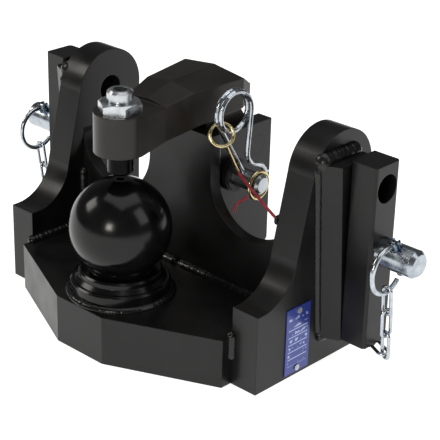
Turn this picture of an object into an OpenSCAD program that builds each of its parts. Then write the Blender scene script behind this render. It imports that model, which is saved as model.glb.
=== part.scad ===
// Height-adjustable ball hitch carriage with a swinging hold-down.
// Frame: millimetres, +Z up, +X to the right, +Y towards the towing vehicle.
// Origin: the centre of the coupling ball.

/* [Coupling ball] */
// Diameter of the coupling ball
ball_d = 80; // [70:1:90]
// Diameter of the neck under the ball
neck_d = 50; // [44:1:56]
// Diameter of the collar under the ball
collar_d = 66; // [60:1:70]
// Diameter of the foot flange
foot_d = 79; // [74:1:84]
// Height from the ball's centre down to the plate's top face
ball_h = 54; // [50:1:70]
// Diameter of the centre drilling on top of the ball
centre_drill_d = 6; // [3:1:10]

/* [Carriage] */
// Clear width between the two cheeks
cheek_gap = 228; // [200:1:260]
// Thickness of each cheek
cheek_t = 25; // [18:1:32]
// Thickness of the base plate
plate_t = 40; // [28:1:46]
// Distance from the ball's centre forward to the plate's front edge
plate_front = 44; // [42:1:60]
// Width of the plate's straight front edge
plate_nose_w = 51; // [30:1:80]
// Distance from the ball's centre forward to the plate's side corners
plate_corner = 4; // [0:1:12]
// Distance from the ball's centre back to the front of the cheek feet
foot_y = 6; // [2:1:20]
// Height of the cheek feet above the plate's top face
foot_h = 25; // [10:1:34]
// Radius of the cheeks' round heads
head_r = 34; // [30:1:36]
// Radius of the hollow curve between foot and head
hollow_r = 36; // [20:1:40]

/* [Slide blocks] */
// Distance from the ball's centre back to the pin axes
bore_y = 95; // [90:1:100]
// Height of the upper bores above the ball's centre
bore_z = 60; // [50:1:66]
// Distance between the upper bore and the locking pin
bore_pitch = 50; // [40:1:60]
// Diameter of the locking pins
pin_d = 22; // [18:1:23]
// Radial clearance of the pins in their bores
pin_play = 0.1; // [0.05:0.01:0.1]
// Thickness of each slide block, measured along the pin
block_t = 24; // [18:1:32]
// Width of each slide block, the size that runs in the rail
block_w = 28; // [27:1:34]
// Height of the slide blocks above the upper bore
block_top = 19; // [16:1:24]
// Length of the slide blocks
block_l = 147; // [120:1:170]
// Thickness of the spacer between cheek and slide block
spacer_t = 17; // [10:1:26]

/* [Hold-down bracket] */
// Thickness of the cross plate
cross_t = 10; // [8:1:14]
// Distance from the ball's centre back to the cross plate
cross_y = 64; // [58:1:66]
// Width of the cross plate's upright tongue
tongue_w = 68; // [64:1:76]
// Height of the tongue above the ball's centre
tongue_top = 66; // [58:1:68]
// Height of the centres of the two round cut-outs
window_z = 32; // [24:1:40]
// Clear width between the bracket's side plates
slot_w = 32; // [28:1:36]
// Thickness of the bracket's side plates
side_t = 14; // [10:1:15]
// Height of the side plates above the ball's centre
side_top = 62; // [58:1:64]
// Distance from the ball's centre back to the side plates' rear edge
side_rear = 138; // [134:1:146]
// Distance from the ball's centre back to the arm's pivot
pivot_y = 122; // [120:1:124]
// Height of the arm's pivot above the ball's centre
pivot_z = 44; // [42:1:46]
// Diameter of the pivot pin
pivot_d = 16; // [12:1:18]
// Distance from the ball's centre back to the cross pin
lock_y = 92; // [91:1:93]
// Height of the cross pin above the ball's centre
lock_z = 27; // [26:1:28]
// Diameter of the cross pin
lock_d = 16; // [12:1:16]

/* [Hold-down arm] */
// Radius of the arm's round front end
boss_r = 20.5; // [18:0.5:22]
// Height of the underside of the arm's front end
arm_under = 63; // [60:1:66]
// Height of the flat on top of the arm's front end
arm_flat = 95; // [90:1:97]
// Height of the arm's highest point
arm_top = 108.5; // [106:0.5:112]
// Half the arm's width at its rear
arm_half_w = 32; // [28:1:34]
// Roll angle of the arm's roof faces
roof_angle = 6.8; // [2:0.1:9]
// Diameter of the set screw
screw_d = 20; // [16:1:22]
// Height of the set screw's top above the arm's flat
screw_stick = 17; // [12:1:24]
// Height of the set screw's lower end
screw_low = 45; // [43.5:0.5:50]
// Width across flats of the lock nut
nut_af = 30; // [27:1:32]
// Height of the lock nut
nut_h = 8; // [6:1:10]
// Width across flats of the screw's hexagon socket
socket_af = 10; // [6:1:12]

/* [Pins, clip and chains] */
// How far the locking pins stand out of the slide blocks
pin_out = 34; // [30:1:40]
// Diameter of the linch pins
linch_d = 9; // [7:0.5:9]
// Wire diameter of the linch pin rings
ring_wire = 4; // [3:0.5:4.5]
// Mean radius of the linch pin rings
ring_r = 18; // [17:0.5:20]
// Angle of the linch pins from upright, leaning forward at the top
linch_tilt = 25; // [20:1:30]
// Wire diameter of the spring clip
clip_wire = 4; // [3:0.5:4.5]
// Wire diameter of the chain links
chain_wire = 2.8; // [2.4:0.1:3]
// Inner length of a chain link
link_in = 20.7; // [20:0.1:21.5]
// Diameter of the pin tether
tether_d = 2.4; // [2:0.2:3]

/* [Type plate] */
// Width of the type plate
tag_w = 27; // [20:1:30]
// Height of the type plate
tag_h = 56; // [40:1:60]
// Thickness of the type plate
tag_t = 0.8; // [0.5:0.1:1.5]

/* [Hidden] */
$fn = 96;
black = "#1c1b1b";
zinc = "#c9cccf";
gold = "#d9c48c";
plate_top = -ball_h;
plate_bottom = -ball_h - plate_t;
xi = cheek_gap / 2;
xc = xi + cheek_t;
xs = xc + spacer_t;
xo = xs + block_t;
foot_top = plate_top + foot_h;
rear_y = bore_y + head_r - 0.2;
lower_z = bore_z - bore_pitch;
block_z1 = bore_z + block_top;
block_z0 = block_z1 - block_l;
block_y0 = bore_y - block_w / 2;
block_y1 = bore_y + block_w / 2;
bore_d = pin_d + 2 * pin_play;
cross_back = cross_y + cross_t;
window_x = (tongue_w / 2 + xi) / 2;
window_r = (xi - tongue_w / 2) / 2;
side_x = slot_w / 2 + side_t;
tail_half = slot_w / 2 - 0.5;
lock_stick = 34;
collar_l = 8;
clip_x = side_x + collar_l + 8;
clip_hole_d = clip_wire + 0.8;
screw_top = arm_flat + screw_stick;

// Mirrors its children to both sides of the object.
module both_sides() {
    for (s = [0, 1]) mirror([s, 0, 0]) children();
}

// Turns a profile drawn in (Y, Z) into a slab between two X values.
module slab(x0, x1) {
    translate([x0, 0, 0]) rotate([90, 0, 90]) linear_extrude(x1 - x0) children();
}

// A cylinder along X between two X values.
module rod_x(d, x0, x1, y, z, n = 96) {
    translate([x0, y, z]) rotate([0, 90, 0]) cylinder(d = d, h = x1 - x0, $fn = n);
}

// A quarter-round weld bead along Z, with its flat faces on X and Y.
module bead(r, l) {
    linear_extrude(l) intersection() {
        circle(r, $fn = 24);
        square(r);
    }
}

// ---- Carriage ----

plate_outline = [
    [-plate_nose_w / 2, -plate_front], [plate_nose_w / 2, -plate_front],
    [xi, -plate_corner], [xi, rear_y], [-xi, rear_y], [-xi, -plate_corner]];
corner_bevel = 10;

module plate_corner_cut(z, up) {
    // Weld preparation: the front edge next to a cheek is bevelled.
    translate([xi, -plate_corner, z])
        rotate([0, 0, atan2(plate_front - plate_corner, xi - plate_nose_w / 2)])
            rotate([up * 24, 0, 6])
                translate([-90, -40, up > 0 ? 0 : -40]) cube([110, 40, 40]);
}

module base_plate() {
    color(black) difference() {
        translate([0, 0, plate_bottom]) linear_extrude(plate_t) polygon(plate_outline);
        both_sides() {
            plate_corner_cut(plate_top - corner_bevel, 1);
            plate_corner_cut(plate_bottom + corner_bevel, -1);
        }
        cylinder(d = foot_d - 28, h = 300, center = true);
    }
}

collar_top = -ball_d / 2 * 0.85;
flange_top = collar_top - 8;
spigot_r = (foot_d - 28) / 2;

module ball_stud() {
    color(black) difference() {
        union() {
            intersection() {
                sphere(d = ball_d, $fn = 128);
                translate([0, 0, -ball_d / 2]) cylinder(d = ball_d + 2, h = ball_d - 0.5);
            }
            rotate_extrude() polygon([
                [0, plate_bottom + 2], [spigot_r - 1, plate_bottom + 2],
                [spigot_r, plate_bottom + 3], [spigot_r, plate_top],
                [foot_d / 2, plate_top], [foot_d / 2, flange_top - 1.5],
                [foot_d / 2 - 1.5, flange_top], [collar_d / 2 + 3, flange_top],
                [collar_d / 2, flange_top + 3], [collar_d / 2, collar_top - 1.5],
                [collar_d / 2 - 1.5, collar_top], [neck_d / 2 + 1, collar_top],
                [neck_d / 2 - 3, collar_top + 3], [0, collar_top + 3]]);
        }
        translate([0, 0, ball_d / 2 - 8]) cylinder(d = centre_drill_d, h = 20);
    }
}

weld_ring_r = 5;

module ball_weld_ring() {
    color(black) rotate_extrude() translate([foot_d / 2, plate_top]) intersection() {
        circle(weld_ring_r, $fn = 24);
        square(weld_ring_r);
    }
}

// The cheek's front edge is one straight line that touches both round parts.
hollow_c = [foot_y + 5, foot_top + hollow_r];
head_c = [bore_y, bore_z];
gap_v = head_c - hollow_c;
edge_a = acos((hollow_r + head_r) / norm(gap_v)) - atan2(gap_v[1], gap_v[0]);
edge_n = [cos(edge_a), -sin(edge_a)];
sink = 0.2;

module cheek() {
    difference() {
        union() {
            slab(xi, xc) polygon([
                [foot_y, plate_bottom], [foot_y, foot_top], [hollow_c[0], foot_top],
                hollow_c + (hollow_r - sink) * edge_n, head_c - (head_r - sink) * edge_n,
                head_c, [rear_y, head_c[1]], [rear_y, plate_bottom]]);
            slab(xi, xc) translate(head_c) circle(head_r);
        }
        slab(xi - 1, xc + 1) translate(hollow_c) circle(hollow_r);
        rod_x(bore_d, xi - 1, xc + 1, bore_y, bore_z);
        rod_x(bore_d, xi - 1, xc + 1, bore_y, lower_z);
    }
}

module right_cheek() { color(black) cheek(); }
module left_cheek() { color(black) mirror([1, 0, 0]) cheek(); }

spacer_lean = 11;
spacer_yaw = 26;

// The spacer's front leans back towards its foot and turns outwards.
module spacer_front() {
    translate([xc, cross_y, block_z1 - 4]) rotate([atan2(spacer_lean, block_l - 1), 0, 0])
        rotate([0, 0, spacer_yaw]) children();
}

module spacer() {
    difference() {
        slab(xc, xs) polygon([
            [cross_y, block_z1 - 4], [cross_y + spacer_lean, block_z0 - 3],
            [block_y1, block_z0 - 3], [block_y1, block_z1 - 4]]);
        spacer_front() translate([-5, -40, -1.2 * block_l]) cube([60, 40, 1.5 * block_l]);
        rod_x(bore_d, xc - 1, xs + 1, bore_y, bore_z);
        rod_x(bore_d, xc - 1, xs + 1, bore_y, lower_z);
    }
}

module right_spacer() { color(black) spacer(); }
module left_spacer() { color(black) mirror([1, 0, 0]) spacer(); }

lead_l = 24;
lead_d = 9;
edge_c = 2;

module slide_block() {
    difference() {
        translate([0, 0, block_z0]) linear_extrude(block_l) polygon([
            [xs, block_y0 + edge_c], [xs + edge_c, block_y0],
            [xo - edge_c, block_y0], [xo, block_y0 + edge_c],
            [xo, block_y1 - edge_c], [xo - edge_c, block_y1], [xs, block_y1]]);
        rod_x(bore_d, xs - 1, xo + 1, bore_y, bore_z);
        rod_x(bore_d, xs - 1, xo + 1, bore_y, lower_z);
        // Lead-in: the lower outer corner is cut away.
        translate([xo, block_y0, block_z0 + lead_l])
            rotate([0, 0, 45]) rotate([-atan2(lead_d, lead_l), 0, 0])
                translate([-30, -40, -60]) cube([60, 40, 60]);
    }
}

module right_slide_block() { color(black) slide_block(); }
module left_slide_block() { color(black) mirror([1, 0, 0]) slide_block(); }

// ---- Bracket behind the ball ----

module cross_plate() {
    color(black) difference() {
        translate([-xi, cross_y, plate_top])
            cube([2 * xi, cross_t, tongue_top - plate_top]);
        both_sides() {
            translate([window_x, cross_y - 1, window_z]) rotate([-90, 0, 0])
                cylinder(r = window_r, h = cross_t + 2);
            translate([tongue_w / 2, cross_y - 1, window_z])
                cube([2 * window_r + 1, cross_t + 2, 100]);
        }
    }
}

module side_plate() {
    difference() {
        slab(slot_w / 2, side_x) polygon([
            [cross_back, plate_top], [rear_y - 2, plate_top], [side_rear, plate_top + 10],
            [side_rear, side_top], [cross_back, side_top]]);
        rod_x(pivot_d, slot_w / 2 - 1, side_x + 1, pivot_y, pivot_z);
        rod_x(lock_d + 2 * pin_play, slot_w / 2 - 1, side_x + 1, lock_y, lock_z);
    }
}

module right_side_plate() { color(black) side_plate(); }
module left_side_plate() { color(black) mirror([1, 0, 0]) side_plate(); }

collar_od = 27;

module cross_pin_collars() {
    color(black) both_sides() difference() {
        union() {
            rod_x(collar_od, side_x, side_x + collar_l - 1, lock_y, lock_z);
            rod_x(collar_od - 3, side_x, side_x + collar_l, lock_y, lock_z);
        }
        rod_x(lock_d + 2 * pin_play, side_x - 1, side_x + collar_l + 1, lock_y, lock_z);
    }
}

module hinge_pin() {
    color(black) rod_x(pivot_d, -side_x, side_x, pivot_y, pivot_z);
}

bead_r = 6;

module plate_weld_beads() {
    color(black) {
        both_sides() {
            // Plate to cheek, along the cheek's inner face.
            translate([xi, foot_y + 2, plate_top]) rotate([-90, 0, 0]) rotate([0, 0, 180])
                bead(bead_r, cross_y - foot_y - 2 - bead_r);
            // Plate corner to the front of the cheek foot.
            translate([xi, foot_y, plate_top - corner_bevel - 4]) rotate([0, 0, -90])
                bead(bead_r - 1, corner_bevel + 8);
        }
        // Plate to cross plate.
        translate([-xi + bead_r + 2, cross_y, plate_top]) rotate([90, 0, 90])
            rotate([0, 0, 90]) bead(bead_r, 2 * xi - 2 * bead_r - 4);
    }
}

module bracket_weld_beads() {
    color(black) both_sides() {
        // Cross plate to cheek.
        translate([xi, cross_y, plate_top + bead_r + 2]) rotate([0, 0, 180])
            bead(bead_r, window_z - plate_top - window_r * 0.62);
        // Tongue to side plate.
        translate([side_x, cross_back, plate_top + 2])
            bead((tongue_w / 2 - side_x) * 0.95, side_top - plate_top - 8);
        // Side plate to base plate.
        translate([side_x, cross_back + bead_r, plate_top]) rotate([-90, 0, 0])
            rotate([0, 0, -90]) bead(bead_r, rear_y - cross_back - bead_r - 4);
    }
}

module slide_weld_beads() {
    color(black) both_sides() {
        // Spacer top to cheek and slide block.
        translate([xc, cross_y + 5, block_z1 - 4]) rotate([-90, 0, 0]) rotate([0, 0, -90])
            bead(spacer_t * 0.62, block_y1 - cross_y - 6);
        // Spacer front to cheek.
        spacer_front() difference() {
            translate([0, 0, 8 - block_l]) cylinder(r = bead_r - 2, h = block_l - 14, $fn = 24);
            translate([-20, 0, -2 * block_l]) cube([40, 20, 3 * block_l]);
            rotate([0, 0, -spacer_yaw]) translate([-20, -20, -2 * block_l]) cube([20, 40, 3 * block_l]);
        }
        // Spacer bottom to cheek.
        translate([xc, cross_y + spacer_lean + 2, block_z0 - 3]) rotate([-90, 0, 0])
            bead(bead_r, block_y1 - cross_y - spacer_lean - 3);
    }
}

// ---- Hold-down ----

step_y = 28;
knee_y = 53;
crest_y = 101;
tail_y = 112;
knee_half_w = 25.6;

module arm_plan() {
    circle(boss_r);
    polygon([
        [-boss_r, 0], [boss_r, 0], [boss_r, step_y], [knee_half_w, knee_y],
        [arm_half_w, crest_y], [arm_half_w - 3, tail_y],
        [-arm_half_w + 3, tail_y], [-arm_half_w, crest_y],
        [-knee_half_w, knee_y], [-boss_r, step_y]]);
}

module arm_side() {
    polygon([
        [-boss_r - 1, arm_under], [3, arm_under], [54, arm_under + 11],
        [97, arm_under + 16.5], [102, arm_under + 17.5], [tail_y + 1, arm_under + 23],
        [tail_y + 1, arm_top + 2], [-boss_r - 1, arm_top + 2]]);
}

module arm_roof_side() {
    polygon([
        [step_y, 0], [step_y, arm_flat + 3.5], [knee_y, arm_top - 3],
        [crest_y, arm_top], [tail_y, arm_top - 8], [tail_y + 1, 0]]);
}

module arm_roof_half() {
    // Each half of the roof rolls down from the ridge on the centre line.
    translate([0, 0, arm_flat]) rotate([0, roof_angle, 0]) translate([0, 0, -arm_flat])
        slab(-20, 60) arm_roof_side();
}

module hold_down_arm() {
    color(black) difference() {
        intersection() {
            linear_extrude(arm_top + 5) arm_plan();
            slab(-60, 60) arm_side();
            union() {
                translate([-60, -60, 0]) cube([120, 60 + step_y + 4, arm_flat]);
                both_sides() intersection() {
                    arm_roof_half();
                    cube([60, 200, 200]);
                }
            }
        }
        translate([0, 0, arm_under - 1]) cylinder(d = screw_d + 0.1, h = 60);
        // Pocket that the tail is welded into.
        translate([-tail_half, cross_back + 3, 0]) cube([2 * tail_half, 32, tail_top]);
    }
}

tail_top = 88;
tail_y0 = cross_back + 3;
seat_a = 192;
tail_eye_r = 14.5;

module hold_down_tail() {
    color(black) difference() {
        slab(-tail_half, tail_half) union() {
            intersection() {
                polygon([
                    [tail_y0, tail_top], [tail_y0, 0], [pivot_y, 0],
                    [pivot_y + 14, pivot_z], [tail_y0 + 32, tail_top - 5], [tail_y0 + 32, tail_top]]);
                union() {
                    translate([0, pivot_z]) square([300, 100]);
                    translate([pivot_y, pivot_z]) circle(pivot_y - tail_y0);
                }
                polygon([
                    [pivot_y, pivot_z],
                    [pivot_y + 100 * cos(seat_a), pivot_z + 100 * sin(seat_a)],
                    [0, 200], [300, 200], [300, pivot_z]]);
            }
            translate([pivot_y, pivot_z]) circle(tail_eye_r);
        }
        rod_x(pivot_d + 2 * pin_play, -tail_half - 1, tail_half + 1, pivot_y, pivot_z);
    }
}

module set_screw() {
    color(zinc) difference() {
        union() {
            translate([0, 0, screw_low + 2]) cylinder(d = screw_d, h = screw_top - screw_low - 4);
            translate([0, 0, screw_low]) cylinder(d1 = screw_d - 5, d2 = screw_d, h = 2);
            translate([0, 0, screw_top - 2]) cylinder(d1 = screw_d, d2 = screw_d - 4, h = 2);
        }
        translate([0, 0, screw_top - 10])
            cylinder(d = socket_af / cos(30), h = 20, $fn = 6);
    }
}

module lock_nut() {
    color(zinc) translate([0, 0, arm_flat]) difference() {
        intersection() {
            rotate([0, 0, 30]) cylinder(d = nut_af / cos(30), h = nut_h, $fn = 6);
            union() {
                cylinder(d = nut_af / cos(30) + 1, h = nut_h - 2.2);
                translate([0, 0, nut_h - 2.2])
                    cylinder(d1 = nut_af / cos(30) + 1, d2 = nut_af - 1.5, h = 2.2);
            }
        }
        translate([0, 0, -1]) cylinder(d = screw_d + 0.1, h = nut_h + 2);
    }
}

// ---- Cross pin and its spring clip ----

head_t = 6;

module cross_pin() {
    x1 = side_x + lock_stick;
    x0 = -side_x - collar_l;
    color(zinc) difference() {
        union() {
            rod_x(lock_d, x0, x1 - 2, lock_y, lock_z);
            translate([x1 - 2, lock_y, lock_z]) rotate([0, 90, 0])
                cylinder(d1 = lock_d, d2 = lock_d - 4, h = 2);
            rod_x(lock_d + 8, x0 - head_t, x0, lock_y, lock_z);
        }
        translate([clip_x, lock_y, lock_z]) rotate([-clip_lean, 0, 0])
            cylinder(d = clip_hole_d, h = 60, center = true, $fn = 32);
    }
}

clip_lean = -32;
clip_coil_r = 16;
clip_up = 64;
clip_down = 26;
clip_bulge_r = lock_d / 2 + clip_wire / 2 + 4.5;

// The clip is one bent wire, drawn in (Y, Z) with its straight leg on the Z
// axis and the cross pin's centre at the origin, then leaned to its place.
clip_waist = 5.6;
clip_waist_r = 12;
clip_flare_r = 6;
coil_c = [clip_coil_r, clip_up];
waist_x = clip_waist + clip_waist_r;
waist_c = [waist_x, sqrt((clip_bulge_r + clip_waist_r) ^ 2 - waist_x ^ 2)];
leg_v = waist_c - coil_c;
leg_a = atan2(leg_v[1], leg_v[0]) - asin((clip_coil_r + clip_waist_r) / norm(leg_v));
bulge_a = atan2(waist_c[1], waist_c[0]);
coil_sweep = 450 - leg_a;
clip_leg_x = (clip_wire + 0.3) * coil_sweep / 360;

// Points along an arc in (Y, Z) that moves from X = x0 to X = x1.
function arc_yz(x0, x1, c, r, a0, a1, n) = [for (i = [0:n]) let (a = a0 + (a1 - a0) * i / n)
    [x0 + (x1 - x0) * i / n, c[0] + r * cos(a), c[1] + r * sin(a)]];

clip_route = concat(
    [[0, 0, -clip_down], [0, 0, 0], [0, 0, clip_up / 2]],
    arc_yz(0, clip_leg_x, coil_c, clip_coil_r, 180, 180 - coil_sweep, 44),
    arc_yz(clip_leg_x, clip_leg_x, waist_c, clip_waist_r, leg_a + 270, 180 + bulge_a, 6),
    arc_yz(clip_leg_x, clip_leg_x, [0, 0], clip_bulge_r, bulge_a * 0.8, 0, 4),
    arc_yz(clip_leg_x, clip_leg_x, [clip_bulge_r + clip_flare_r, 0], clip_flare_r, 190, 235, 4));

module spring_clip() {
    color(zinc) translate([clip_x, lock_y, lock_z]) rotate([-clip_lean, 0, 0])
        tube(clip_route, clip_wire, 16, [1, 0, 0]);
}

// A golden wire eye through the clip's coil, its shank leading to the red tether.
eye_loop_wire = 2.6;
eye_loop_r = 9;
eye_loop_c = [clip_x + 2, 60, 73.3];
eye_loop_axis = [-6, 6.5, -4];
shank_top = [clip_x + 7, 60.4, 65];
shank_end = [clip_x + 4, 77.7, 38.2];

module tether_eye() {
    color(gold) {
        aim(eye_loop_c, eye_loop_c + eye_loop_axis, 0) rotate_extrude()
            translate([eye_loop_r, 0]) circle(d = eye_loop_wire, $fn = 24);
        aim(shank_top, shank_end, 0)
            cylinder(d = eye_loop_wire, h = norm(shank_end - shank_top), $fn = 24);
    }
}

// A second golden eye hangs on the cross pin's end, with a short red tail.
pin_loop_r = 11;
pin_loop_c = [side_x + 29, lock_y, lock_z - 1.3];
tail_start = [pin_loop_c[0] - 1.5, lock_y - 9.4, lock_z - 8.5];

module pin_eye() {
    color(gold) aim(pin_loop_c, pin_loop_c + [10, 0, 0], 0) rotate_extrude()
        translate([pin_loop_r, 0]) circle(d = eye_loop_wire, $fn = 24);
}

module pin_eye_tail() {
    color("#a83238") tube(route([tail_start, tail_start + [-3, -2.6, -3],
        tail_start + [-8, -4.8, -8], tail_start + [-9, -6.2, -14.5]], 5), tether_d, 8, [1, 0, 0]);
}

// The tether starts beside the shank's end and stops just short of its anchor.
tether_route = [shank_end + [1.7, -0.7, -0.4], [64, 72.3, 34.8], [80, 66.4, 31.2],
    [96, 60.4, 28], [xi - 3.8, 55.3, 25.5]];

// A tube swept along a smooth curve through hand-picked points.
function catmull(p, i, t) = let (
    a = p[max(i - 1, 0)], b = p[i], c = p[min(i + 1, len(p) - 1)], d = p[min(i + 2, len(p) - 1)])
    0.5 * (2 * b + (c - a) * t + (2 * a - 5 * b + 4 * c - d) * t * t
        + (3 * b - a - 3 * c + d) * t * t * t);
function route(p, n) = concat(
    [for (i = [0:len(p) - 2], k = [0:n - 1]) catmull(p, i, k / n)], [p[len(p) - 1]]);
function unit(v) = v / norm(v);

module tube(p, d, sides, ref = [0.13, 0.31, 0.94]) {
    m = len(p);
    rings = [for (i = [0:m - 1]) let (
        t = unit(p[min(i + 1, m - 1)] - p[max(i - 1, 0)]),
        u = unit(cross(t, ref)),
        w = cross(t, u))
        for (k = [0:sides - 1]) p[i] + d / 2 * (cos(360 * k / sides) * u + sin(360 * k / sides) * w)];
    walls = [for (i = [0:m - 2], k = [0:sides - 1]) let (j = (k + 1) % sides)
        [i * sides + k, i * sides + j, (i + 1) * sides + j, (i + 1) * sides + k]];
    ends = [[for (k = [0:sides - 1]) sides - 1 - k], [for (k = [0:sides - 1]) (m - 1) * sides + k]];
    polyhedron(rings, concat(walls, ends), convexity = 6);
}

module tether() {
    color("#a83238") tube(route(tether_route, 5), tether_d, 8);
}

module tether_anchor() {
    color(black) translate([xi, 55, 25.4]) rotate([0, -90, 0]) {
        cylinder(d = 8, h = 2.4, $fn = 32);
        translate([0, 0, 2.4]) cylinder(d = 5, h = 0.6, $fn = 32);
    }
}

// ---- Locking pins ----

pin_head_d = 30;
pin_head_t = 6;
linch_x = xo + 15;
linch_hole_d = linch_d + 0.6;

module locking_pin() {
    x1 = xo + pin_out;
    difference() {
        union() {
            rod_x(pin_d, xi - 0.2, x1 - 3, bore_y, lower_z);
            translate([x1 - 3, bore_y, lower_z]) rotate([0, 90, 0])
                cylinder(d1 = pin_d, d2 = pin_d - 5, h = 3);
            rod_x(pin_head_d, xi - 0.2 - pin_head_t, xi - 0.2, bore_y, lower_z);
        }
        linch_place() cylinder(d = linch_hole_d, h = 60, center = true, $fn = 48);
    }
}

module right_locking_pin() { color(zinc) locking_pin(); }
module left_locking_pin() { color(zinc) mirror([1, 0, 0]) locking_pin(); }

module linch_place() {
    translate([linch_x, bore_y, lower_z]) rotate([linch_tilt, 0, 0]) children();
}

linch_over = 6.2;
linch_tip = 6;
hub_r = 2.8;
hub_z = pin_d / 2 + 0.5 + hub_r;
hub_t = ring_wire - 0.6;
rivet_wire = 2;

module linch_pin() {
    linch_place() {
        difference() {
            union() {
                translate([0, 0, -pin_d / 2 - linch_tip + 2])
                    cylinder(d = linch_d, h = pin_d + linch_over + linch_tip - 3, $fn = 48);
                translate([0, 0, -pin_d / 2 - linch_tip])
                    cylinder(d1 = linch_d - 4, d2 = linch_d, h = 2, $fn = 48);
                translate([0, 0, pin_d / 2 + linch_over - 1])
                    cylinder(d1 = linch_d, d2 = linch_d - 2, h = 1, $fn = 48);
            }
            // The head is forked for the ring's eye.
            translate([-ring_wire / 2 - 0.25, -linch_d, pin_d / 2 + 0.2])
                cube([ring_wire + 0.5, 2 * linch_d, 20]);
        }
        translate([-linch_d / 2 + 0.4, 0, hub_z]) rotate([0, 90, 0])
            cylinder(d = rivet_wire, h = linch_d - 0.8, $fn = 24);
    }
}

module right_linch_pin() { color("#5a6a7c") linch_pin(); }
module left_linch_pin() { color("#5a6a7c") mirror([1, 0, 0]) linch_pin(); }

eye_r = 6;
eye_wire = 4;
eye_x = xs + block_t * 0.58;
ring_off = ring_r * 0.8;
ring_low = lower_z - ring_off * sin(linch_tilt) - ring_r;

module linch_ring() {
    // The ring runs from its eye in the forked head, round the front of the
    // locking pin, to the linch pin's tip.
    ring_a0 = acos(ring_off / ring_r) + 11;
    ring_a1 = 360 - acos((ring_off - linch_d / 2 - ring_wire / 2 - 0.3) / ring_r);
    linch_place() difference() {
        union() {
            translate([0, -ring_off, 0]) rotate([90, 0, 90]) rotate([0, 0, ring_a0])
                rotate_extrude(angle = ring_a1 - ring_a0)
                    translate([ring_r, 0]) circle(d = ring_wire, $fn = 32);
            translate([-hub_t / 2, 0, hub_z]) rotate([0, 90, 0])
                cylinder(r = hub_r, h = hub_t, $fn = 32);
        }
        translate([-ring_wire, 0, hub_z]) rotate([0, 90, 0])
            cylinder(d = rivet_wire + 0.2, h = 2 * ring_wire, $fn = 24);
    }
}

module right_linch_ring() { color(zinc) linch_ring(); }
module left_linch_ring() { color(zinc) mirror([1, 0, 0]) linch_ring(); }

// ---- Retaining chains ----

link_r = 4;
link_gap = 0.6;
link_pitch = link_in - link_gap;

// One welded link along +Z. The origin is in the middle of its first bend's wire.
module chain_link() {
    straight = link_in + chain_wire - 2 * link_r;
    ends = [link_r, link_r + straight];
    for (s = [-1, 1]) translate([s * link_r, 0, link_r])
        cylinder(d = chain_wire, h = straight, $fn = 16);
    translate([0, 0, ends[0]]) rotate([-90, 0, 0]) rotate_extrude(angle = 180)
        translate([link_r, 0]) circle(d = chain_wire, $fn = 16);
    translate([0, 0, ends[1]]) rotate([90, 0, 0]) rotate_extrude(angle = 180)
        translate([link_r, 0]) circle(d = chain_wire, $fn = 16);
}

// Points its children's +Z from p towards q, after a turn about their own Z.
module aim(p, q, turn) {
    v = q - p;
    translate(p) rotate([0, acos(v[2] / norm(v)), atan2(v[1], v[0])]) rotate([0, 0, turn])
        children();
}

// The chain hangs from the ring down to the block's foot, then one link goes across to the eye.
hang_top = [linch_x, bore_y - 11, ring_low + (ring_wire + chain_wire) / 2 + 0.3];
hang_v = unit([-2, 6.8, -58]);
hang_n = max(1, round((hang_top[2] - block_z0) / link_pitch));
hang_turn = [-70, 34, -56, 40];
hang_end = hang_top + hang_v * (link_in + chain_wire + (hang_n - 1) * link_pitch);
across_start = hang_end - hang_v * (chain_wire + link_gap / 2);
eye_hold = [eye_x + 1.6, 0, block_z0 - chain_wire / 2 - 0.2];

module chain() {
    for (i = [0:hang_n - 1])
        aim(hang_top + hang_v * (i * link_pitch), hang_end + hang_v, hang_turn[i % 4]) chain_link();
    dx = eye_hold[0] - across_start[0];
    dz = eye_hold[2] - across_start[2];
    dy = sqrt(max(0, (link_in + chain_wire) ^ 2 - dx ^ 2 - dz ^ 2));
    aim(across_start, across_start + [dx, dy, dz], 90) chain_link();
}

module right_chain() { color(zinc) chain(); }
module left_chain() { color(zinc) mirror([1, 0, 0]) chain(); }

module chain_eye() {
    translate([eye_x, bore_y + 3, block_z0]) rotate([90, 0, 15]) rotate([0, 0, 180])
        rotate_extrude(angle = 180) translate([eye_r, 0]) circle(d = eye_wire, $fn = 32);
}

module right_chain_eye() { color(black) chain_eye(); }
module left_chain_eye() { color(black) mirror([1, 0, 0]) chain_eye(); }

// ---- Type plate ----

tag_y = 51.5;
tag_z = -63;
rivet_d = 5;

module type_plate() {
    color("#27408b") difference() {
        translate([xc, tag_y - tag_w / 2, tag_z - tag_h / 2]) cube([tag_t, tag_w, tag_h]);
        for (s = [-1, 1]) rod_x(rivet_d - 2, xc - 1, xc + 2, tag_y, tag_z + s * (tag_h / 2 - 3.5), 32);
    }
}

module type_plate_rivets() {
    color(zinc) for (s = [-1, 1]) {
        rod_x(rivet_d - 2, xc, xc + tag_t, tag_y, tag_z + s * (tag_h / 2 - 3.5), 32);
        rod_x(rivet_d, xc + tag_t, xc + tag_t + 1, tag_y, tag_z + s * (tag_h / 2 - 3.5), 32);
    }
}

base_plate();
ball_stud();
ball_weld_ring();
left_cheek();
right_cheek();
left_spacer();
right_spacer();
left_slide_block();
right_slide_block();
cross_plate();
left_side_plate();
right_side_plate();
cross_pin_collars();
hinge_pin();
plate_weld_beads();
bracket_weld_beads();
slide_weld_beads();
hold_down_arm();
hold_down_tail();
set_screw();
lock_nut();
cross_pin();
spring_clip();
tether_eye();
pin_eye();
pin_eye_tail();
tether();
tether_anchor();
left_locking_pin();
right_locking_pin();
left_linch_pin();
right_linch_pin();
left_linch_ring();
right_linch_ring();
left_chain();
right_chain();
left_chain_eye();
right_chain_eye();
type_plate();
type_plate_rivets();
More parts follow.
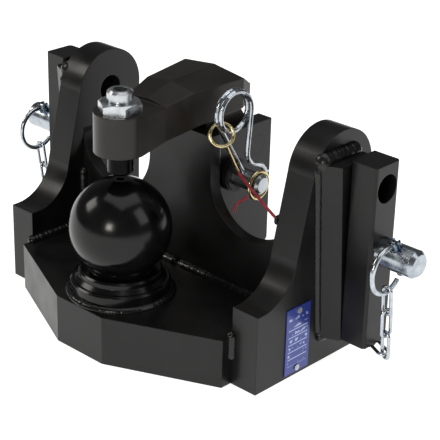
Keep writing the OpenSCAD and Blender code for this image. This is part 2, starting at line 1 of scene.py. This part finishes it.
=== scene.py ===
# %% [markdown]
# # A ball hitch carriage, dressed for its picture
#
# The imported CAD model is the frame: its plates, ball, pins and arm already have their true shapes.
# This lesson gives them their finishes, models the welds and the tether, prints the type plate, and
# sets the camera and the studio light.

import math
import random

import bpy
from mathutils import Matrix, Vector


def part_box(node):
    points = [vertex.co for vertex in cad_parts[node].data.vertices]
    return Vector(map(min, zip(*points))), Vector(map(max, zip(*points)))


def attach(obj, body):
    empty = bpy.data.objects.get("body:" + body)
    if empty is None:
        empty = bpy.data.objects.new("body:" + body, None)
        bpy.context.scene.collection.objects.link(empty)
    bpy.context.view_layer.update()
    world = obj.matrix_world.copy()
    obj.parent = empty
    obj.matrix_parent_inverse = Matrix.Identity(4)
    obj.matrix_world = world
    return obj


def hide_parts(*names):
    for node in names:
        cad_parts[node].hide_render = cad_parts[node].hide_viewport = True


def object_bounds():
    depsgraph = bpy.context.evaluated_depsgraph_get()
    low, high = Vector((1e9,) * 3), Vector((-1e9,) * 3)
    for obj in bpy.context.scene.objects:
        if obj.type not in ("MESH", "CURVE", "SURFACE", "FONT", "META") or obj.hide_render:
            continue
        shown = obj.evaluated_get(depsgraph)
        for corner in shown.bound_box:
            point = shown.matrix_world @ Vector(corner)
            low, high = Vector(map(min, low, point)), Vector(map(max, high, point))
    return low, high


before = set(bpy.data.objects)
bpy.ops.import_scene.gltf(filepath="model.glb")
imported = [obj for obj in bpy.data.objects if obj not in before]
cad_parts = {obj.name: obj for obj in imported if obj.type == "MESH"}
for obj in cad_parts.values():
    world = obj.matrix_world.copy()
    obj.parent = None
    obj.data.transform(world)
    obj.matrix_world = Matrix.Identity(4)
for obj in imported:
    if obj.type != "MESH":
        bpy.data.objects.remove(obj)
cad_box = [list(v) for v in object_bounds()]
MM = 0.001
random.seed(7)
print("CAD box (m):", cad_box)

# %% [markdown]
# ## Camera
#
# The camera stands in front, to the right and above, about 1.14 m from the ball, with a long lens,
# so the cheeks stay nearly parallel. It is rolled a little, and its own axes, right, up and back,
# are the columns of its matrix.

# %% Set the camera
scene = bpy.context.scene
camera_data = bpy.data.cameras.new("camera")
camera = bpy.data.objects.new("camera", camera_data)
scene.collection.objects.link(camera)
camera_at = Vector((0.754285, -0.702788, 0.480578))
look = Vector((-0.616823, 0.666899, -0.418061)).normalized()
roll = math.radians(1.57)
level_right = look.cross(Vector((0, 0, 1))).normalized()
level_up = level_right.cross(look)
right = level_right * math.cos(roll) + level_up * math.sin(roll)
up = level_up * math.cos(roll) - level_right * math.sin(roll)
camera.matrix_world = Matrix((
    (right.x, up.x, -look.x, camera_at.x),
    (right.y, up.y, -look.y, camera_at.y),
    (right.z, up.z, -look.z, camera_at.z),
    (0, 0, 0, 1)))
camera_data.sensor_width = 36
camera_data.lens = 120.36
camera_data.clip_start = 0.05
scene.camera = camera
print("camera at", tuple(round(c, 3) for c in camera_at), "lens", camera_data.lens)

# %% [markdown]
# ## The tether
#
# A thin steel cord in a red sheath ties the spring clip to the cheek, so it can't get lost. It is a
# real cord of fixed length, so it is a smooth curve through the points of its route, given a round
# section and made a mesh. The short red tail on the cross pin's eye is a rigid CAD piece instead.

# %% Cords
def smooth_route(points, steps):
    """Points on one smooth curve through the given points."""
    out = []
    last = len(points) - 1
    for i in range(last):
        a, b = points[max(i - 1, 0)], points[i]
        c, d = points[i + 1], points[min(i + 2, last)]
        for k in range(steps):
            t = k / steps
            out.append(0.5 * (2 * b + (c - a) * t + (2 * a - 5 * b + 4 * c - d) * t * t
                              + (3 * b - a - 3 * c + d) * t ** 3))
    return out + [points[last]]


def choose(*objects):
    """Selects only these objects, the first as the active one."""
    bpy.ops.object.select_all(action="DESELECT")
    for piece in objects:
        piece.select_set(True)
    bpy.context.view_layer.objects.active = objects[0]


def cord_tube(name, points_mm, diameter_mm, steps=6):
    """A round cord along a smooth route. Returns the piece, its length in metres and its path."""
    path = smooth_route([Vector(p) * MM for p in points_mm], steps)
    curve = bpy.data.curves.new(name, "CURVE")
    curve.dimensions = "3D"
    curve.bevel_depth = diameter_mm / 2 * MM
    curve.bevel_resolution = 4
    curve.use_fill_caps = True
    spline = curve.splines.new("POLY")
    spline.points.add(len(path) - 1)
    for point, at in zip(spline.points, path):
        point.co = (*at, 1)
    piece = bpy.data.objects.new(name, curve)
    scene.collection.objects.link(piece)
    choose(piece)
    bpy.ops.object.convert(target="MESH")
    length = sum((b - a).length for a, b in zip(path, path[1:]))
    print(name, "length", round(length * 1000, 1), "mm")
    return bpy.context.object, length, path


TETHER_EXIT = (110.2, 55.3, 25.5)
TETHER_MM = 2.4
tether, tether_length, tether_path = cord_tube("red_tether", [
    TETHER_EXIT, (96, 60.4, 28), (80, 66.4, 31.2), (64, 72.3, 34.8), (51.7, 77, 37.8)], TETHER_MM)
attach(tether, "carriage")
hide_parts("tether")

# %% [markdown]
# ## Tools for finishes
#
# Colours are given as sRGB hex values, while a shader works in linear light, so one
# function turns one into the other. Another adds a node with its settings and its links, which are
# named for the input they feed, or i and its number where two inputs share a name.
# Every pattern reads Object coordinates: the pieces sit at the origin, so a metre there is a metre
# on the real thing, and a pattern's scale is one over its size.

# %% Colour and node helpers
def linear(hex_colour):
    """An sRGB hex colour as linear red, green, blue and alpha."""
    out = []
    for i in (0, 2, 4):
        c = int(hex_colour[i:i + 2], 16) / 255
        out.append(c / 12.92 if c <= 0.04045 else ((c + 0.055) / 1.055) ** 2.4)
    return (*out, 1.0)


def add(material, kind, settings=None, **links):
    """Adds a shader node, sets its values, and links its inputs from other nodes' outputs."""
    tree = material.node_tree
    node = tree.nodes.new(kind)
    for key, value in (settings or {}).items():
        if not isinstance(key, int) and hasattr(node, key):
            setattr(node, key, value)
        else:
            node.inputs[key].default_value = value
    for key, source in links.items():
        by_number = key[0] == "i" and key[1:].isdigit()
        socket = node.inputs[int(key[1:]) if by_number else key.replace("_", " ")]
        tree.links.new(source, socket)
    return node


def per_mm(size_mm):
    """The pattern scale that makes one feature of this size."""
    return 1000 / size_mm


def new_material(name):
    """A material with only its output, and the Object coordinates that patterns read."""
    material = bpy.data.materials.new(name)
    material.use_nodes = True
    material.node_tree.nodes.clear()
    out = add(material, "ShaderNodeOutputMaterial")
    coords = add(material, "ShaderNodeTexCoord").outputs["Object"]
    return material, out, coords


def ramp(material, source, stops):
    """A colour ramp fed by source, with (place, colour) stops."""
    node = add(material, "ShaderNodeValToRGB", None, Fac=source)
    elements = node.color_ramp.elements
    while len(elements) < len(stops):
        elements.new(0.5)
    for element, (place, colour) in zip(elements, stops):
        element.position = place
        element.color = colour
    return node.outputs["Color"]


def grey(value):
    """A linear grey with alpha."""
    return (value, value, value, 1)


def surface(material, shader, out):
    """Makes this shader the material's surface. Returns the material."""
    material.node_tree.links.new(shader.outputs["BSDF"], out.inputs["Surface"])
    print("finish:", material.name)
    return material


# %% [markdown]
# ## Black paint on plate steel
#
# The plates are flame-cut hot-rolled steel, blasted and sprayed with black semi-gloss enamel. The
# film levels out into a soft sheen with a faint orange-peel ripple, about 2 mm from crest to crest,
# over the broader unevenness of rolled plate. Its colour and gloss drift in cloudy patches. Edges
# are ground off by hand, so a Bevel node rounds the light over them by about a millimetre.

# %% Paint
PATCH_MM = 28
PEEL_MM = 2.2
WAVE_MM = 40


def black_paint(name, colour, rough, coat, edge_mm=0.9, peel=0.10):
    """Black enamel: its colour, roughness and clear coat, the edge's radius and the peel's depth."""
    material, out, coords = new_material(name)
    mottle = add(material, "ShaderNodeTexNoise", {"Scale": per_mm(PATCH_MM), "Detail": 5.0},
                 Vector=coords)
    orange_peel = add(material, "ShaderNodeTexNoise", {"Scale": per_mm(PEEL_MM), "Detail": 2.0},
                      Vector=coords)
    plate_wave = add(material, "ShaderNodeTexNoise", {"Scale": per_mm(WAVE_MM), "Detail": 1.0},
                     Vector=coords)
    dark = linear(colour)
    light = tuple(min(1, c * 1.6 + 0.003) for c in dark[:3]) + (1,)
    tint = ramp(material, mottle.outputs["Fac"], [(0.35, dark), (0.75, light)])
    gloss = add(material, "ShaderNodeMapRange", {
        "From Min": 0.3, "From Max": 0.7, "To Min": rough - 0.05, "To Max": rough + 0.07},
        Value=mottle.outputs["Fac"])
    edge = add(material, "ShaderNodeBevel", {"samples": 6, "Radius": edge_mm * MM})
    wave = add(material, "ShaderNodeBump", {"Strength": 0.10, "Distance": 1.2 * MM},
               Height=plate_wave.outputs["Fac"], Normal=edge.outputs["Normal"])
    skin = add(material, "ShaderNodeBump", {"Strength": peel, "Distance": 0.12 * MM},
               Height=orange_peel.outputs["Fac"], Normal=wave.outputs["Normal"])
    shader = add(material, "ShaderNodeBsdfPrincipled", {
        "IOR": 1.35, "Coat Weight": coat, "Coat Roughness": 0.12}, Base_Color=tint,
        Roughness=gloss.outputs["Result"], Normal=skin.outputs["Normal"])
    return surface(material, shader, out)


plate_paint = black_paint("black_semi_gloss_enamel", "0B0A0A", 0.34, 0.05)
ball_paint = black_paint("black_gloss_enamel_on_turned_steel", "060606", 0.16, 0.0, 0.5, 0.03)
arm_paint = black_paint("black_enamel_on_forged_arm", "1B1815", 0.33, 0.1, 1.4)
weld_paint = black_paint("black_enamel_over_weld", "0C0C0C", 0.26, 0.2, 0.3, 0.05)

# %% [markdown]
# ## Zinc plating
#
# Pins, nut, screw, rings and chain are turned or bent from steel and plated in bright zinc. It is a
# metal with a cool grey colour, finely grained by the turning marks, and slightly cloudy. The linch
# pins have a blue passivation, and the two wire eyes a yellow one. Below the arm's underside the set
# screw's tint turns near black: this is painted shade, standing in for the shadow under the arm.

# %% Plated metals
CLOUD_MM = 7
ALONG_THE_MARKS = 0.08
PAINTED_SHADE_FADE_MM = 0.5


def plated(name, colour, shade, rough, grain_mm, edge_mm=0.35, marks_depth=0.08,
           painted_shade_below=None):
    """Zinc plating between two colours, with painted shade below a height (m) if one is given."""
    material, out, coords = new_material(name)
    cloud = add(material, "ShaderNodeTexNoise", {"Scale": per_mm(CLOUD_MM), "Detail": 4.0},
                Vector=coords)
    stretch = add(material, "ShaderNodeMapping", {
        "Scale": (1.0, ALONG_THE_MARKS, ALONG_THE_MARKS)}, Vector=coords)
    grain = add(material, "ShaderNodeTexNoise", {"Scale": per_mm(grain_mm), "Detail": 2.0},
                Vector=stretch.outputs["Vector"])
    tint = ramp(material, cloud.outputs["Fac"], [(0.3, linear(shade)), (0.7, linear(colour))])
    # Painted shade: below the given height the tint fades to near black, standing in for a shadow.
    if painted_shade_below is not None:
        place = add(material, "ShaderNodeSeparateXYZ", None, Vector=coords)
        out_of_painted_shade = add(material, "ShaderNodeMapRange", {
            "From Min": painted_shade_below, "From Max": painted_shade_below + PAINTED_SHADE_FADE_MM * MM},
            Value=place.outputs["Z"])
        tint = add(material, "ShaderNodeMix", {"data_type": "RGBA", 6: linear("141414")},
                   i0=out_of_painted_shade.outputs["Result"], i7=tint).outputs[2]
    gloss = add(material, "ShaderNodeMapRange", {
        "From Min": 0.3, "From Max": 0.7, "To Min": rough - 0.06, "To Max": rough + 0.08},
        Value=cloud.outputs["Fac"])
    edge = add(material, "ShaderNodeBevel", {"samples": 6, "Radius": edge_mm * MM})
    marks = add(material, "ShaderNodeBump", {"Strength": marks_depth, "Distance": 0.05 * MM},
                Height=grain.outputs["Fac"], Normal=edge.outputs["Normal"])
    shader = add(material, "ShaderNodeBsdfPrincipled", {"Metallic": 1.0}, Base_Color=tint,
                 Roughness=gloss.outputs["Result"], Normal=marks.outputs["Normal"])
    return surface(material, shader, out)


bright_zinc = plated("bright_zinc_on_steel", "C9CDD0", "A4A9AF", 0.3, 0.6)
wire_zinc = plated("bright_zinc_on_wire", "C4C9CE", "A0A7AE", 0.2, 1.0, 0.2, 0.02)
pin_zinc = plated("bright_zinc_on_turned_pin", "BCC3C9", "949CA4", 0.24, 0.5, 0.5)
# Painted shade under the arm: the set screw turns near black below the arm's underside.
screw_zinc = plated("bright_zinc_on_set_screw", "C9CDD0", "A4A9AF", 0.3, 0.6,
                    painted_shade_below=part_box("hold_down_arm")[0].z)
blue_zinc = plated("blue_zinc_on_linch_pin", "8FA0B4", "5F6E82", 0.28, 0.5)
yellow_zinc = plated("yellow_zinc_on_wire", "E6D9B0", "C9B37A", 0.26, 0.4)

# %% [markdown]
# ## Red sheath
#
# The tether's sheath is extruded soft plastic with a low sheen. Its red drifts over about 3 mm, as
# it does on a cord that has been handled.

# %% Sheath
WEAR_MM = 3


def red_sheath():
    """The soft red plastic over the tether."""
    material, out, coords = new_material("red_extruded_sheath")
    wear = add(material, "ShaderNodeTexNoise", {"Scale": per_mm(WEAR_MM), "Detail": 3.0},
               Vector=coords)
    tint = ramp(material, wear.outputs["Fac"], [(0.3, linear("7E1C26")), (0.75, linear("B23440"))])
    shader = add(material, "ShaderNodeBsdfPrincipled", {"Roughness": 0.42, "IOR": 1.48},
                 Base_Color=tint)
    return surface(material, shader, out)


sheath = red_sheath()

# %% [markdown]
# ## Finishes on the pieces
#
# Welded parts, the ball, the hinge pin and the arm are painted. Loose pins, the screw, its nut, the
# rivets, the chains and the wire parts are plated. The tether has the same sheath as the short
# tail on the cross pin's eye.

# %% Put the finishes on
def finish_with(names, material):
    """These CAD nodes take this material in every slot."""
    for name in names:
        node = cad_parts[name]
        node.data.materials.clear()
        node.data.materials.append(material)


both = ("left_", "right_")
finish_with(["base_plate", "cross_plate", "hinge_pin", "cross_pin_collars", "tether_anchor",
             *[side + part for side in both for part in (
                 "cheek", "spacer", "slide_block", "side_plate", "chain_eye")]], plate_paint)
finish_with(["ball_stud"], ball_paint)
finish_with(["hold_down_arm", "hold_down_tail"], arm_paint)
finish_with(["set_screw"], screw_zinc)
finish_with(["lock_nut", "cross_pin", "type_plate_rivets"], bright_zinc)
finish_with(["spring_clip", "left_linch_ring", "right_linch_ring", "left_chain", "right_chain"],
            wire_zinc)
finish_with(["left_locking_pin", "right_locking_pin"], pin_zinc)
finish_with(["left_linch_pin", "right_linch_pin"], blue_zinc)
finish_with(["tether_eye", "pin_eye"], yellow_zinc)
finish_with(["pin_eye_tail"], sheath)
tether.data.materials.append(sheath)
print("finished", len(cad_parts), "CAD nodes")

# %% [markdown]
# ## Weld beads
#
# A bead is a row of small overlapping pools, each frozen as the torch moved on. One pool is
# modelled from a sphere, pressed a little along the run, leaned, and copied every 1.9 mm with a
# small change in size. A voxel remesh then melts the row into one skin, fine enough to keep the
# ripples.

# %% A weld bead
POOL_PITCH = 1.9
POOL_PRESS = 0.85
POOL_LEAN = 18
POOL_CHANGE = 0.04


def pool(name, radius_mm):
    """One frozen pool of a bead, lying along X, at the origin."""
    bpy.ops.object.select_all(action="DESELECT")
    bpy.ops.mesh.primitive_uv_sphere_add(segments=16, ring_count=10, radius=radius_mm * MM)
    piece = bpy.context.object
    piece.name = name
    bpy.ops.object.mode_set(mode="EDIT")
    bpy.ops.mesh.select_all(action="SELECT")
    bpy.ops.transform.resize(value=(POOL_PRESS, 1, 1), center_override=(0, 0, 0))
    bpy.ops.object.mode_set(mode="OBJECT")
    return piece


def bead_places(start, end):
    """Evenly spaced points from start to end, in mm, each with the run's direction."""
    a, b = Vector(start), Vector(end)
    count = max(2, round((b - a).length / POOL_PITCH))
    return [(a.lerp(b, (i + 0.5) / count), (b - a).normalized()) for i in range(count)]


def ring_places(radius_mm, z_mm):
    """The same around a circle about the Z axis."""
    count = round(2 * math.pi * radius_mm / POOL_PITCH)
    out = []
    for i in range(count):
        a = 2 * math.pi * i / count
        out.append((Vector((radius_mm * math.cos(a), radius_mm * math.sin(a), z_mm)),
                    Vector((-math.sin(a), math.cos(a), 0))))
    return out


def weld(name, runs, voxel_mm=0.55):
    """One piece from several runs of (places, bead radius in mm)."""
    pools = []
    for places, radius in runs:
        first = pool(name + "_pool", radius)
        for at, along in places:
            copy = first.copy()
            copy.data = first.data.copy()
            scene.collection.objects.link(copy)
            turn = along.to_track_quat("X", "Z").to_matrix().to_4x4()
            lean = Matrix.Rotation(math.radians(POOL_LEAN), 4, "Y")
            size = Matrix.Scale(1 + random.uniform(-POOL_CHANGE, POOL_CHANGE), 4)
            copy.matrix_world = Matrix.Translation(at * MM) @ turn @ lean @ size
            pools.append(copy)
        bpy.data.objects.remove(first)
    choose(*pools)
    bpy.ops.object.join()
    piece = bpy.context.object
    piece.name = name
    bpy.ops.object.transform_apply(location=True, rotation=True, scale=True)
    skin = piece.modifiers.new("melt", "REMESH")
    skin.mode = "VOXEL"
    skin.voxel_size = voxel_mm * MM
    bpy.ops.object.modifier_apply(modifier=skin.name)
    bpy.ops.object.shade_smooth()
    piece.data.materials.clear()
    piece.data.materials.append(weld_paint)
    print(name, len(piece.data.polygons), "faces")
    return piece


def mirrored(runs):
    """The runs and their images across X = 0."""
    def flip(v):
        return Vector((-v.x, v.y, v.z))

    return runs + [([(flip(p), flip(d)) for p, d in places], radius) for places, radius in runs]


# %% [markdown]
# ## Where the welds run
#
# Each run's ends are set off the pieces that it joins, in millimetres, so the beads follow the
# CAD model. The runs are given for the right side and mirrored to the left. Each group replaces
# the plain beads of the CAD model.

# %% Welds of the plate and the ball
cheek_low, cheek_high = (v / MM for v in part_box("right_cheek"))
cross_low, cross_high = (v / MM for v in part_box("cross_plate"))
plate_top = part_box("base_plate")[1].z / MM
inner_x = cheek_low.x
foot_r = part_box("ball_weld_ring")[1].x / MM - 5
ball_weld = weld("ball_weld", [(ring_places(foot_r, plate_top), 4.4)])
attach(ball_weld, "carriage")
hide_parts("ball_weld_ring")
plate_weld = weld("plate_welds", mirrored([
    (bead_places((inner_x, cheek_low.y + 2, plate_top), (inner_x, cross_low.y, plate_top)), 5.2),
    (bead_places((inner_x, cheek_low.y, plate_top - 16), (inner_x, cheek_low.y, plate_top + 2)), 4.4),
    (bead_places((3, cross_low.y, plate_top), (inner_x - 2, cross_low.y, plate_top)), 5.2)]))
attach(plate_weld, "carriage")
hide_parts("plate_weld_beads")

# %% Welds of the bracket and the slide blocks
side_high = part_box("right_side_plate")[1] / MM
block_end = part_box("right_slide_block")[1].y / MM - 3
spacer_low, spacer_high = (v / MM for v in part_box("right_spacer"))
outer_x = cheek_high.x
bracket_weld = weld("bracket_welds", mirrored([
    (bead_places((inner_x, cross_low.y, plate_top + 6), (inner_x, cross_low.y, -6)), 4.8),
    (bead_places((side_high.x, cross_high.y, plate_top + 3),
                 (side_high.x, cross_high.y, side_high.z - 4)), 3.6),
    (bead_places((side_high.x, cross_high.y + 6, plate_top),
                 (side_high.x, side_high.y - 14, plate_top)), 5)]))
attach(bracket_weld, "carriage")
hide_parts("bracket_weld_beads")
slide_weld = weld("slide_welds", mirrored([
    (bead_places((outer_x, spacer_low.y + 6, spacer_high.z),
                 (outer_x, block_end, spacer_high.z)), 7.5),
    (bead_places((outer_x, spacer_low.y + 1, spacer_high.z - 6),
                 (outer_x, spacer_low.y + 11, spacer_low.z + 6)), 3.4),
    (bead_places((outer_x, spacer_low.y + 14, spacer_low.z),
                 (outer_x, block_end, spacer_low.z)), 5)]))
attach(slide_weld, "carriage")
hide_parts("slide_weld_beads")

# %% [markdown]
# ## Type plate
#
# The plate is thin aluminium, printed deep blue and clear-lacquered. Its height is split into nine
# rows. Pale rules part the middle rows, and short pale bars stand in them where a noise is high. A
# margin stays plain all round. No lettering is drawn.

# %% The printed face
ROWS = 9
CHIP_MM = 3.2


def type_plate_print():
    """Blue print with pale rules and bars, placed by the type plate's own box."""
    material, out, coords = new_material("blue_print_on_aluminium")
    low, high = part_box("type_plate")
    place = add(material, "ShaderNodeSeparateXYZ", None, Vector=coords)
    across = add(material, "ShaderNodeMapRange", {
        "From Min": low.y, "From Max": high.y, "To Min": 0.0, "To Max": 1.0},
        Value=place.outputs["Y"]).outputs["Result"]
    upward = add(material, "ShaderNodeMapRange", {
        "From Min": low.z, "From Max": high.z, "To Min": 0.0, "To Max": 1.0},
        Value=place.outputs["Z"]).outputs["Result"]

    def maths(operation, a, b=0.0):
        node = add(material, "ShaderNodeMath", {"operation": operation})
        for socket, value in zip(node.inputs, (a, b)):
            if isinstance(value, (int, float)):
                socket.default_value = value
            else:
                material.node_tree.links.new(value, socket)
        return node.outputs["Value"]

    def between(source, lowest, highest):
        return maths("MULTIPLY", maths("GREATER_THAN", source, lowest),
                     maths("LESS_THAN", source, highest))

    in_row = maths("FRACT", maths("MULTIPLY", upward, float(ROWS)))
    rules = maths("MULTIPLY", maths("LESS_THAN", in_row, 0.13), between(upward, 0.12, 0.72))
    chips = add(material, "ShaderNodeTexNoise", {"Scale": per_mm(CHIP_MM), "Detail": 1.0},
                Vector=coords)
    bars = maths("MULTIPLY", between(in_row, 0.35, 0.72),
                 maths("GREATER_THAN", chips.outputs["Fac"], 0.56))
    bars = maths("MULTIPLY", bars, between(upward, 0.12, 0.9))
    marks = maths("MULTIPLY", maths("MAXIMUM", rules, bars), between(across, 0.1, 0.9))
    ink = add(material, "ShaderNodeMix", {
        "data_type": "RGBA", 6: linear("2B3A8E"), 7: linear("9FB4DC")}, i0=marks)
    shader = add(material, "ShaderNodeBsdfPrincipled", {
        "Roughness": 0.3, "Coat Weight": 0.4, "Metallic": 0.25}, Base_Color=ink.outputs[2])
    return surface(material, shader, out)


finish_with(["type_plate"], type_plate_print())

# %% [markdown]
# ## Studio
#
# The carriage stands on a pale table in a dim room. The table glows, so it stays white up to the
# object and throws some light on the faces that look down. A small soft box in front draws the
# bright spot on the ball, one on the left and one on the right give the paint its sheen, and a wide
# one overhead lights the faces that look up.

# %% Floor and room
TABLE_SIZE = 14
TABLE_GAP = 0.5 * MM
TABLE_GLOW = 0.85
ROOM_GLOW = 0.1
bpy.ops.object.select_all(action="DESELECT")
bpy.ops.mesh.primitive_plane_add(size=TABLE_SIZE, location=(0, 0, cad_box[0][2] - TABLE_GAP))
floor = bpy.context.object
floor.name = "studio_table"
floor_paint, floor_out, _ = new_material("white_table")
floor_shader = add(floor_paint, "ShaderNodeBsdfPrincipled", {
    "Base Color": grey(0.85), "Roughness": 0.85, "Emission Color": grey(1),
    "Emission Strength": TABLE_GLOW})
floor.data.materials.append(surface(floor_paint, floor_shader, floor_out))
world = bpy.data.worlds.new("dim_room")
scene.world = world
world.use_nodes = True
world.node_tree.nodes["Background"].inputs["Color"].default_value = grey(1)
world.node_tree.nodes["Background"].inputs["Strength"].default_value = ROOM_GLOW


# %% Lights
BALL_CENTRE = Vector((0, 0, 0))


def soft_box(name, at, size, power, tint="FFFFFF"):
    """A rectangular lamp in metres and watts, aimed at the ball."""
    light = bpy.data.lights.new(name, "AREA")
    light.shape = "RECTANGLE"
    light.size, light.size_y = size
    light.energy = power
    light.color = linear(tint)[:3]
    lamp = bpy.data.objects.new(name, light)
    scene.collection.objects.link(lamp)
    lamp.location = at
    lamp.rotation_euler = (BALL_CENTRE - Vector(at)).to_track_quat("-Z", "Y").to_euler()
    print(name, power, "W")


soft_box("front_soft_box", (0.53, -1.4, 0.55), (0.3, 0.3), 7, "FFFAF2")
soft_box("left_soft_box", (-1.4, -0.9, 1.15), (0.7, 0.7), 9, "FFFAF2")
soft_box("right_soft_box", (1.7, 0.5, 1.2), (0.8, 1.2), 6)
soft_box("top_soft_box", (0, 0.3, 3), (3, 3), 38)
scene.view_settings.view_transform = "Standard"
